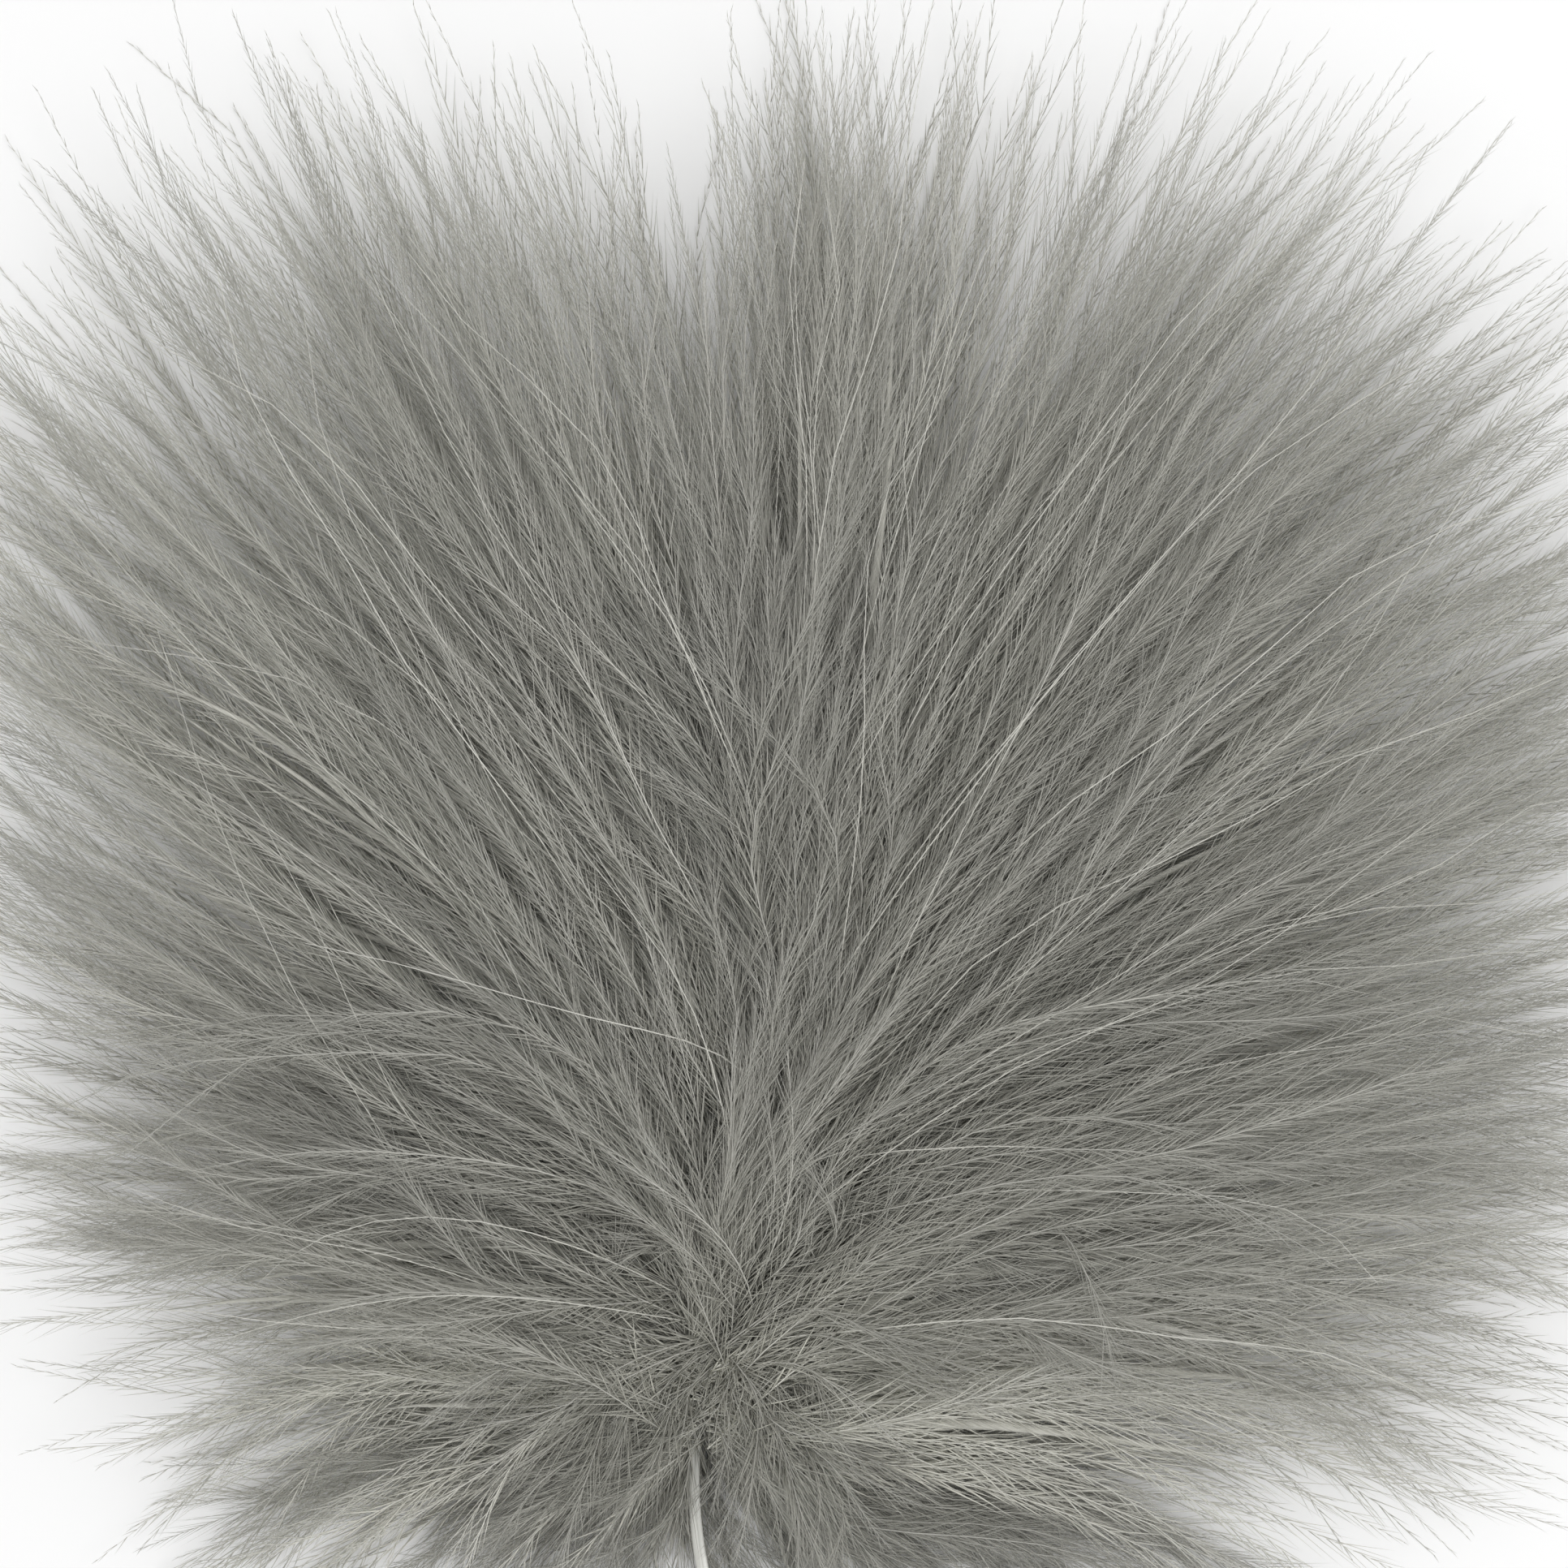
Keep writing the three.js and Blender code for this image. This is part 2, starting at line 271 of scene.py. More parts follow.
def lock_corners(
    tier, side, index, number, across=0.0, length=1.0, set_back=0.0, turn=0.0, straight=0.0
):
    """The four corners of the guide curve of a lock, or of a barb that lies that far across it
    and turns that many degrees off it. A barb that is set back grows nearer the quill and runs
    on over the shaft before it turns. A straight one leaves the shaft the way that it ends."""
    middle = (index + 0.5) / tier["locks"]
    outward = middle + across * OVERLAP / (2 * tier["locks"])
    strayed = ANGLE_SPREAD * stray(number, 1)
    own = side * between(tier["fan"], middle) + strayed
    even = side * between(tier["fan"], outward) + strayed
    angle = own + (even - own) * (1 - CLUMP) + turn
    first = between(FIRST_DOWN, (1 + stray(number + across, 6)) / 2)
    grows = max(between(tier["grows"], min(max(outward, 0), 1)) - set_back, first)
    root = curve_at(SHAFT_LINE, [grows])[0]
    if set_back > 0:
        root += [-side * OVER_SHAFT * set_back * (1 + stray(number + across, 5)), 0, SET_BACK_RISE]
    outline, pointing = outline_at(angle)
    reach = outline * (tier["reach"] + REACH_SPREAD * stray(number, 2)) * length
    lift = HEIGHT_SPREAD * stray(number, 3)
    tip_height = tier["heights"][2] * (1 + TIP_HEIGHT_SPREAD * stray(number, 4))
    tip = np.append(FAN_MIDDLE + heading(angle) * reach, tip_height)
    over = max(abs(tip[0]) - WIDE_FROM, 0)
    tip[0] -= math.copysign(over - WIDE_ROOM * math.tanh(over / WIDE_ROOM), tip[0])
    bend = BEND_SHARE * math.hypot(*(tip - root)[:2])
    lean = between((LEAN, LEAN_BEHIND), abs(angle) / 180)
    lean *= 1 - SET_BACK_LEAN * max(set_back, 0)
    lean = between((lean, 1), straight)
    leaving = np.append(root[:2] + heading(angle * lean) * bend, tier["heights"][0] + lift)
    arriving = np.append(tip[:2] - heading(pointing + turn) * bend, tier["heights"][1] + lift)
    return root, leaving, arriving, tip


def every_lock():
    """Each lock's tier name, side name, index and number, in the order of the solid's source."""
    number = 0
    for tier_name, tier in TIERS.items():
        for side_name in SIDES:
            for index in range(tier["locks"]):
                yield tier_name, side_name, index, number
                number += 1


def frame_shift():
    """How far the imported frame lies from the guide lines' own frame, in millimetres."""
    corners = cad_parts[NODE].data.vertices
    end = min(corners, key=lambda corner: corner.co.y).co
    return np.array([end.x / MM - SHAFT_LINE[0][0], end.y / MM - SHAFT_LINE[0][1], 0])


SHIFT = frame_shift()


def placed(points):
    """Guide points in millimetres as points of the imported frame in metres."""
    return (np.asarray(points, float) + SHIFT) * MM


def smooth_step(low, high, value):
    """Rises smoothly from 0 at low to 1 at high."""
    share = np.clip((value - low) / (high - low), 0, 1)
    return share * share * (3 - 2 * share)


def directions(points):
    """Unit directions along lines of points, and the level directions square to them."""
    ahead = np.gradient(points, axis=0)
    ahead /= np.linalg.norm(ahead, axis=1)[:, None] + 1e-9
    sideways = np.cross(ahead, [0, 0, 1])
    sideways /= np.linalg.norm(sideways, axis=1)[:, None] + 1e-9
    return ahead, sideways


# Meshes, nodes and pieces.


def add_node(tree, kind, inputs=None, **settings):
    """Adds a node with its settings. Each input is given by name or number, and is a value or
    the socket that feeds it."""
    node = tree.nodes.new(kind)
    for name, value in settings.items():
        setattr(node, name, value)
    for key, value in (inputs or {}).items():
        if isinstance(value, bpy.types.NodeSocket):
            tree.links.new(value, node.inputs[key])
        else:
            node.inputs[key].default_value = value
    return node


def piece_of(name, mesh):
    """An object at the origin for a finished mesh, declared as part of the feather."""
    mesh.polygons.foreach_set("use_smooth", [True] * len(mesh.polygons))
    piece = bpy.data.objects.new(name, mesh)
    bpy.context.scene.collection.objects.link(piece)
    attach(piece, BODY)
    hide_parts(NODE)
    return piece


def new_material(name):
    """A material with an empty node tree, and that tree."""
    material = bpy.data.materials.new(name)
    material.use_nodes = True
    material.node_tree.nodes.clear()
    return material, material.node_tree


def finish_material(tree, colour, height=None, strength=0.0, **sockets):
    """Ends a material in one shader with that colour, and with a bump where it has a height."""
    shader = add_node(tree, "ShaderNodeBsdfPrincipled", {"Base Color": colour})
    if height is not None:
        relief = {"Height": height, "Strength": strength, "Distance": BUMP_DEPTH * MM}
        bump = add_node(tree, "ShaderNodeBump", relief)
        tree.links.new(bump.outputs[0], shader.inputs["Normal"])
    for socket, value in sockets.items():
        shader.inputs[socket.replace("_", " ")].default_value = value
    add_node(tree, "ShaderNodeOutputMaterial", {"Surface": shader.outputs[0]})


def down_material(name, settings, painted_light=0.0):
    """Keratin down, dyed grey. Bare barbs are smooth and light, lighter still by a painted highlight
    along them; the barbules between them look deeper and a little olive, most of all near the shaft,
    partly their dye and partly painted shade of the down's depths. painted_light is how much painted
    light lifts the shade near the shaft, in place of light that seeps from barb to barb; below 0 it
    is painted shade that darkens it there."""
    material, tree = new_material(name)
    along, fluff, tint = (
        add_node(tree, "ShaderNodeAttribute", attribute_name=attribute).outputs["Fac"]
        for attribute in ("along", "fluff", "tint")
    )
    place = add_node(tree, "ShaderNodeTexCoord").outputs["Object"]
    # Each modelled barbule is a sheaf of some five real ones, seen as streaks that run together
    # a little past its point, and lie otherwise on each barb.
    fibre = add_node(tree, "ShaderNodeAttribute", attribute_name="fibre").outputs["Vector"]
    split = add_node(tree, "ShaderNodeSeparateXYZ", {0: fibre}).outputs
    left = add_node(tree, MATH, {0: 1.05, 1: split["Z"]}, operation="SUBTRACT").outputs[0]
    fan = add_node(tree, MATH, {0: split["X"], 1: left}, operation="DIVIDE").outputs[0]
    sheaf = add_node(tree, "ShaderNodeCombineXYZ", {"X": fan, "Y": split["Z"], "Z": tint})
    spun = add_node(
        tree, "ShaderNodeMapping", {"Vector": sheaf.outputs[0], "Scale": (4.6, 0.6, 57)}
    ).outputs[0]
    streaks = add_node(
        tree, "ShaderNodeTexNoise", {"Vector": spun, "Scale": 1.0, "Detail": 0.0}
    ).outputs["Fac"]
    streaks = add_node(tree, "ShaderNodeMapRange", {"Value": streaks, **NOISE_RANGE}).outputs[0]
    # Dye takes unevenly in patches of about 8 mm.
    patches = add_node(
        tree, "ShaderNodeTexNoise", {"Vector": place, "Scale": 1 / (8 * MM), "Detail": 2.0}
    ).outputs["Fac"]
    # Stems lighter than their barbules, partly a painted highlight along them, and both deeper near
    # the shaft, partly painted shade.
    inner, outer = (
        add_node(
            tree, "ShaderNodeMix", {0: fluff, 6: (*stem, 1), 7: (*barbule, 1)}, data_type="RGBA"
        ).outputs[2]
        for stem, barbule in (
            (settings.barb_root_colour, settings.barbule_root_colour),
            (settings.barb_tip_colour, settings.barbule_tip_colour),
        )
    )
    body = add_node(
        tree, "ShaderNodeMix", {0: along, 6: inner, 7: outer}, data_type="RGBA"
    ).outputs[2]
    uneven = add_node(tree, MATH, {0: tint, 1: patches}, operation="ADD").outputs[0]
    uneven = add_node(tree, MATH, {0: uneven, 1: streaks}, operation="ADD").outputs[0]
    # Painted light near the shaft, painted shade where painted_light is below 0, fading towards the
    # tip.
    fade = {0: along, 1: -PAINTED_LIGHT_FADE * painted_light, 2: BRIGHTNESS + painted_light}
    lift = add_node(tree, MATH, fade, operation="MULTIPLY_ADD").outputs[0]
    shade = add_node(
        tree, MATH, {0: uneven, 1: UNEVENNESS, 2: lift}, operation="MULTIPLY_ADD"
    ).outputs[0]
    coloured = add_node(
        tree, "ShaderNodeVectorMath", {0: body, "Scale": shade}, operation="SCALE"
    ).outputs[0]
    finish_material(tree, coloured, Roughness=0.7)
    return material


def inner_down_material(settings):
    """Dense dyed down deep in the plume: matted barbs seen as streaks along the lock, without
    gloss, and painted pale between them: painted light in place of the light that seeps down to it."""
    material, tree = new_material("keratin_down_dense_dyed_grey_painted_light")
    run = add_node(tree, "ShaderNodeUVMap", uv_map="run").outputs[0]
    # Barbules 0.12 mm apart and some 2 mm long, at 25 degrees to the strand. The map counts in
    # millimetres.
    turned = add_node(
        tree, "ShaderNodeMapping", {"Vector": run, "Rotation": (0, 0, math.radians(25))}
    ).outputs[0]
    stretched = add_node(
        tree, "ShaderNodeMapping", {"Vector": turned, "Scale": (1 / 2, 1 / 0.12, 1)}
    ).outputs[0]
    streaks = add_node(
        tree, "ShaderNodeTexNoise", {"Vector": stretched, "Scale": 1.0, "Detail": 4.0}
    ).outputs["Fac"]
    contrast = add_node(tree, "ShaderNodeMapRange", {"Value": streaks, **NOISE_RANGE}).outputs[0]
    # The pale colour between the streaks is painted light, which lifts the shade deep in the plume.
    between_them, along_them = (*settings.deep_painted_light_colour, 1), (*settings.barbule_root_colour, 1)
    colour = add_node(
        tree, "ShaderNodeMix", {0: contrast, 6: between_them, 7: along_them}, data_type="RGBA"
    ).outputs[2]
    finish_material(tree, colour, contrast, 0.6, Roughness=0.8, Sheen_Weight=0.2)
    return material


def quill_material(settings):
    """Horny keratin of a quill: pale and a little waxy, smooth with faint streaks along it."""
    material, tree = new_material("quill_keratin_waxy_pale")
    run = add_node(tree, "ShaderNodeUVMap", uv_map="run").outputs[0]
    # Streaks 0.25 mm apart round the quill and 6 mm long.
    stretched = add_node(
        tree, "ShaderNodeMapping", {"Vector": run, "Scale": (1 / 6, 1 / 0.25, 1)}
    ).outputs[0]
    streaks = add_node(
        tree, "ShaderNodeTexNoise", {"Vector": stretched, "Scale": 1.0, "Detail": 3.0}
    ).outputs["Fac"]
    dull, pale = (*settings.groove_colour, 1), (*settings.quill_colour, 1)
    colour = add_node(
        tree, "ShaderNodeMix", {0: streaks, 6: dull, 7: pale}, data_type="RGBA"
    ).outputs[2]
    finish_material(tree, colour, streaks, 0.25, Roughness=0.38, IOR=1.54, Coat_Weight=0.15)
    return material


def tube(points, radii, sides, squeeze=1.0, notch=0.0, notch_at=0.0):
    """The corners, faces and map of a closed tube along points, in millimetres, with one ring a
    point and a pole at each end. squeeze flattens it, and notch sinks a groove of that share of
    its radius at one angle. The map counts millimetres along the tube and round it."""
    ahead, sideways = directions(points)
    lifted = np.cross(sideways, ahead)
    turn = np.linspace(0, 2 * math.pi, sides, endpoint=False)
    apart = np.abs((turn - notch_at + math.pi) % (2 * math.pi) - math.pi)
    shape = 1 - notch * np.exp(-((apart / GROOVE_WIDTH) ** 2))
    ring = shape[None, :, None] * (
        np.cos(turn)[None, :, None] * sideways[:, None, :]
        + squeeze * np.sin(turn)[None, :, None] * lifted[:, None, :]
    )
    inner = points[1:-1, None, :] + ring[1:-1] * radii[1:-1, None, None]
    rings = len(inner)
    corners = np.concatenate([inner.reshape(-1, 3), points[:1], points[-1:]])
    first, last = rings * sides, rings * sides + 1
    faces = []
    for s in range(sides):
        n = (s + 1) % sides
        faces.append((first, s, n))
        for r in range(rings - 1):
            a, b = r * sides, (r + 1) * sides
            faces.append((a + s, b + s, b + n, a + n))
        faces.append((last, (rings - 1) * sides + n, (rings - 1) * sides + s))
    length = np.cumsum(np.linalg.norm(np.diff(points, axis=0, prepend=points[:1]), axis=1))
    column = np.minimum(np.arange(sides), sides - np.arange(sides))
    girth = column * 2 * math.pi * np.max(radii) / sides
    around = np.stack([np.repeat(length[1:-1], sides), np.tile(girth, rings)], axis=1)
    return corners, faces, np.concatenate([around, [[0, 0], [length[-1], 0]]])


def mesh_of(name, tubes):
    """One mesh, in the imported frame, of closed tubes."""
    faces, count = [], 0
    for corners, tube_faces, _ in tubes:
        faces += [tuple(count + i for i in face) for face in tube_faces]
        count += len(corners)
    mesh = bpy.data.meshes.new(name)
    mesh.from_pydata(placed(np.concatenate([t[0] for t in tubes])).tolist(), [], faces)
    which = np.zeros(len(mesh.loops), np.int32)
    mesh.loops.foreach_get("vertex_index", which)
    run = np.concatenate([t[2] for t in tubes])[which]
    mesh.uv_layers.new(name="run").uv.foreach_set("vector", run.astype(np.float32).ravel())
    return mesh


# Barbs.


def barb(corners, random, settings, wisp=False, curl=0.0, rise=0.0):
    """One barb along a guide curve, which curls that far aside at its tip: its points, and at
    each how thick it is, how long its barbules are, how far along it is, the barb's own tint,
    and how far barbules may roll. Barbs that rise above their lock are painted darker, and those
    below it lighter: painted shade and light that even out the shade within a lock."""
    share = np.linspace(BARB_START, 1, BARB_POINTS)
    points = curve_at(corners, share)
    _, sideways = directions(points)
    length = float(np.linalg.norm(np.diff(points, axis=0), axis=1).sum())
    loose = share**0.8
    phase = random.uniform(0, 2 * math.pi, 3)
    waves = length / random.uniform(*WAVE_LENGTHS, 2)
    swing = random.uniform(*SWING) * np.sin(2 * math.pi * waves[0] * share + phase[0])
    bob = random.uniform(*BOB) * np.sin(2 * math.pi * waves[1] * share + phase[1])
    curl += random.normal(0, WISP_CURL_SPREAD if wisp else CURL_SPREAD)
    curled = curl * smooth_step(*CURLS_ALONG, share) * 2
    bow = random.normal(0, BOW) * np.sin(math.pi * share)
    points = points + sideways * ((swing * loose + curled + bow)[:, None])
    points[:, 2] += bob * loose + random.normal(0, ARCH) * np.sin(math.pi * share)
    points[:, 2] = np.clip(points[:, 2], LOWEST + 0.2 * random.random(), HIGHEST)
    width = settings.barb_width / MM / 2 * random.uniform(*WIDTHS) * (WISP_WIDTH if wisp else 1)
    thickness = width * (1 - TAPER * share**0.9)
    full = smooth_step(*FRINGE_STARTS, share) * (1 - smooth_step(*FRINGE_FADES, share))
    longest = settings.barbule_length / MM * random.uniform(*FRINGES)
    longest *= WISP_FRINGE if wisp else 1
    fringe = longest * full * min(1, length / FULL_LENGTH) + LEAST_FRINGE
    tint = np.full(BARB_POINTS, random.uniform(*TINTS) - PAINTED_SHADE_BY_RISE * rise)
    # Barbules roll less where they would reach into the table or stand up above the plume.
    room = np.minimum(points[:, 2] - LOWEST, CEILING - points[:, 2])
    swung = room / (BARBULE_LENGTHS[1] * fringe * math.sin(settings.widest_splay))
    roll = np.minimum(np.arcsin(np.clip(swung, 0, 1)), settings.barbule_roll)
    return points, thickness, fringe, share, tint, roll


def beside_quill(corners, side):
    """A guide curve kept to its own side of the bare quill."""
    corners = np.array(corners)
    line = curve_at(SHAFT_LINE, np.linspace(0, 0.4, 30))
    middle = np.interp(corners[:, 1], line[:, 1], line[:, 0])
    before, behind = BARE_QUILL_BLEND
    near = smooth_step(before - BARE_QUILL, behind - BARE_QUILL, -corners[:, 1])
    away = np.maximum(QUILL_GAP - side * (corners[:, 0] - middle), 0)
    corners[:, 0] += side * away * near
    return corners


def barbs_of(tier_name, side_name, settings):
    """All barbs of one tier on one side of the shaft."""
    tier, side = TIERS[tier_name], SIDES[side_name]
    barbs = []
    for found_tier, found_side, index, number in every_lock():
        if (found_tier, found_side) != (tier_name, side_name):
            continue
        random = np.random.default_rng([settings.seed, number])
        for tuft in range(settings.tufts_per_lock):
            middle = 2 * (tuft + random.random()) / settings.tufts_per_lock - 1
            early = random.random() < SHORT_TUFTS[tier_name]
            kind = "early" if early else "long"
            if early:
                end, level = random.uniform(*EARLY_ENDS), random.uniform(*EARLY_LEVELS)
            else:
                end = LONG_END - LONG_SHORTFALL * random.random() ** 1.5
                level = random.uniform(-1, 1)
            swerve, curl = random.normal(0, SWERVES[kind]), random.normal(0, CURLS[kind])
            upper = tier_name in ("crown", "middle")
            if upper and random.random() < ACROSS:
                end, level = random.uniform(*ACROSS_ENDS), random.uniform(*ACROSS_LEVELS)
                swerve = random.normal(0, SWERVES["across"])
                curl = random.normal(0, CURLS["across"])
            covers = upper and random.random() < COVERING
            set_back = random.uniform(*(SET_BACK if covers else SET_FORWARD))
            straight = random.uniform(*(BASE_STRAIGHT if tier_name == "base" else STRAIGHT))
            for _ in range(settings.barbs_per_tuft):
                wisp = not early and random.random() < WISPS
                across = middle + random.normal(0, BARBS_ACROSS)
                length = WISP_END if wisp else end * (1 - BARBS_SHORTER * random.random())
                back = set_back + random.normal(0, BARBS_ALONG)
                turn = swerve + random.normal(0, BARBS_TURN)
                corners = lock_corners(
                    tier, side, index, number, across, length, back, turn, straight
                )
                # rise also sets the barb's painted shade: the higher it lies in its lock, the darker.
                rise = level + random.normal(0, BARBS_LEVEL)
                corners = raised(corners, rise + BARB_RISE[tier_name])
                corners = beside_quill(corners, side)
                barbs.append(barb(corners, random, settings, wisp, curl, rise))
    return barbs


def mantle_tuft(random, grows, over, aim, lengths, heights, count):
    """The guide curves of one small tuft that grows on the shaft, as one of MANTLES says."""
    place, beside, turned = random.uniform(*grows), random.normal(*over), random.normal(*aim)
    longest = random.uniform(*lengths)
    for _ in range(count):
        root = curve_at(SHAFT_LINE, [place + random.normal(0, MANTLE_ALONG)])[0]
        root += [beside + random.normal(0, MANTLE_BESIDE), 0, MANTLE_RISE]
        length = longest * random.uniform(0.8, 1)
        pointing = turned + random.normal(0, MANTLE_TURN)
        tip = root[:2] + heading(pointing) * length
        first, second = MANTLE_BENDS
        leaving = root[:2] + heading(between((pointing, aim[0]), 0.6)) * length * first
        arriving = tip - heading(pointing + 0.3 * (pointing - aim[0])) * length * second
        level = np.array(heights) + random.normal(0, MANTLE_LEVEL)
        bends = [np.append(end, z) for end, z in zip((leaving, arriving, tip), level)]
        yield np.array([root, *bends])


def mantle_barbs(settings):
    """The barbs of the small tufts that hide where the down grows from the shaft."""
    random = np.random.default_rng([settings.seed, MANTLE_SEED])
    barbs = []
    for tufts, *how, painted_shade in MANTLES:
        for _ in range(tufts):
            curl = random.normal(0, 2)
            for corners in mantle_tuft(random, *how, settings.barbs_per_tuft):
                # The tuft's painted shade darkens its barbs as a rise in the lock would.
                barbs.append(barb(corners, random, settings, curl=curl, rise=painted_shade))
    return barbs


def raised(corners, rise):
    """A guide curve moved up or down. rise is 1 at the top of its lock, and -1 at its foot."""
    lift = np.zeros((4, 3))
    lift[:, 2] = LOCK_LIFTS * rise
    return np.array(corners) + lift


def matted_strand(tier, side, index, number, random):
    """A flat matted strand of the dense inner down, as a tube that ends in a fine point."""
    share = np.linspace(0, 1, STRAND_RINGS)
    across, length = random.uniform(-1, 1), random.uniform(*STRAND_LENGTHS)
    set_back, turn = random.uniform(*STRAND_SET_BACK), random.normal(0, STRAND_TURN)
    corners = lock_corners(tier, side, index, number, across, length, set_back, turn)
    drop = random.uniform(*(CROWN_DROP if tier is TIERS["crown"] else OTHER_DROP))
    corners = beside_quill(raised(corners, drop), side)
    points = curve_at(corners, STRAND_START + STRAND_RUN * share)
    _, sideways = directions(points)
    swing = random.uniform(*STRAND_SWING) * np.sin(STRAND_WAVE * share + random.uniform(0, 6))
    points = points + sideways * (swing * share)[:, None]
    points[:, 2] = np.maximum(points[:, 2], STRAND_LOWEST)
    # Widest near the middle, blunt where it grows.
    swell = np.sin(math.pi * (0.08 + 0.92 * share) ** 0.8) ** 0.8
    radii = random.uniform(*STRAND_RADII) * swell * random.uniform(0.75, 1.1, STRAND_RINGS)
    return tube(points, radii, STRAND_SIDES, STRAND_SQUEEZE)


# Single barbs that have slipped across the others, by points from the shaft to the tip.
LOOSE_BARBS = [
    [(-6, -33, 4), (-20, -26, 8), (-31, -11, 14.2), (-42.5, 13.5, 12.6)],
    [(-6, -33, 4), (-14, -26, 8), (-25, -10, 14.4), (-36.5, 6.5, 13)],
    [(-5, -30, 4), (-10, -24, 9), (-17, -14, 14.4), (-28.5, 2.5, 13.6)],
    [(1, -19, 5), (-4, -11, 12), (-14, -7.5, 14.8), (-30, -5, 13)],
    [(-4, -28, 5), (-5, -18, 12), (-8, -8, 14.8), (-13.5, 4.5, 14)],
    [(-2, -22, 5), (-9, -12, 12), (-19, -1.5, 14.6), (-27, 9, 13.6)],
    [(0, -21, 5), (8, -18.4, 12), (18, -20.5, 14), (35, -24.5, 10.5)],
    [(0, -20, 5), (12, -14, 12), (24, -6, 14.4), (38, 1.5, 12)],
    [(0, -19, 5), (8, -6, 12), (15, 9, 14.8), (21, 24, 13.6)],
    [(0, -19, 5), (4, -4, 12), (5, 12, 15), (11, 27, 13.6)],
    [(0, -19, 5), (-3, -4, 12), (-9, 10, 15), (-20, 22, 13.6)],
    [(-1, -21, 5), (12, -12, 12), (26, -8, 13.8), (43, -9, 10.5)],
    [(-6, -33, 4), (-17, -29, 9), (-28, -24, 12), (-43, -21, 8)],
]


def bare_barb_lines(random):
    """The guide curves of the barbs that lie across the others: those through the points of
    LOOSE_BARBS, and then others along the crown's locks."""
    # A cubic curve with these corners passes through the inner points a third and two thirds of
    # the way along.
    for line in LOOSE_BARBS:
        a, b, c, d = np.array(line, float)
        yield [a, (-5 * a + 18 * b - 9 * c + 2 * d) / 6, (2 * a - 9 * b + 18 * c - 5 * d) / 6, d]
    crown = [lock for lock in every_lock() if lock[0] == "crown"]
    for _ in range(BARE_BARBS):
        tier_name, side_name, index, number = crown[random.integers(len(crown))]
        across, length = random.uniform(-1, 1), random.uniform(*BARE_LENGTHS)
        set_back, turn = random.uniform(*BARE_SET_BACK), random.normal(0, BARE_TURN)
        side = SIDES[side_name]
        yield raised(
            lock_corners(TIERS[tier_name], side, index, number, across, length, set_back, turn),
            random.uniform(*BARE_LEVELS),
        )


def loose_barbs(settings):
    """The barbs that lie across the others, thinly feathered, with a painted highlight that makes
    them show as bright lines.
    """
    random = np.random.default_rng(settings.seed + 1)
    barbs = []
    for corners in bare_barb_lines(random):
        points, thickness, fringe, share, _, roll = barb(corners, random, settings, True)
        bare = np.minimum(fringe, BARE_FRINGE + BARE_FRINGE_MORE * (1 - share))
        # A painted highlight: the whole barb lighter than the other barbs.
        light = np.full(BARB_POINTS, BARE_PAINTED_HIGHLIGHT)
        barbs.append((points, thickness * BARE_WIDTH, bare, share, light, roll))
    return barbs


def guide_mesh(name, barbs):
    """One line of edges a barb, whose corners carry what the barb is like there."""
    points = placed(np.concatenate([b[0] for b in barbs]))
    starts = [i for i in range(len(points)) if (i + 1) % BARB_POINTS]
    mesh = bpy.data.meshes.new(name)
    mesh.from_pydata(points.tolist(), [(i, i + 1) for i in starts], [])
    scales = {"thickness": MM, "fringe": MM, "along": 1, "tint": 1, "roll": 1}
    for place, (attribute, scale) in enumerate(scales.items(), start=1):
        values = np.concatenate([b[place] for b in barbs]) * scale
        layer = mesh.attributes.new(attribute, "FLOAT", "POINT")
        layer.data.foreach_set("value", values.astype(np.float32))
    return mesh


BARB_INPUTS = {
    "Barbule spacing": "NodeSocketFloat",
    "Barbule half width": "NodeSocketFloat",
    "Narrowest splay": "NodeSocketFloat",
    "Widest splay": "NodeSocketFloat",
    "Seed": "NodeSocketInt",
    "Down": "NodeSocketMaterial",
}


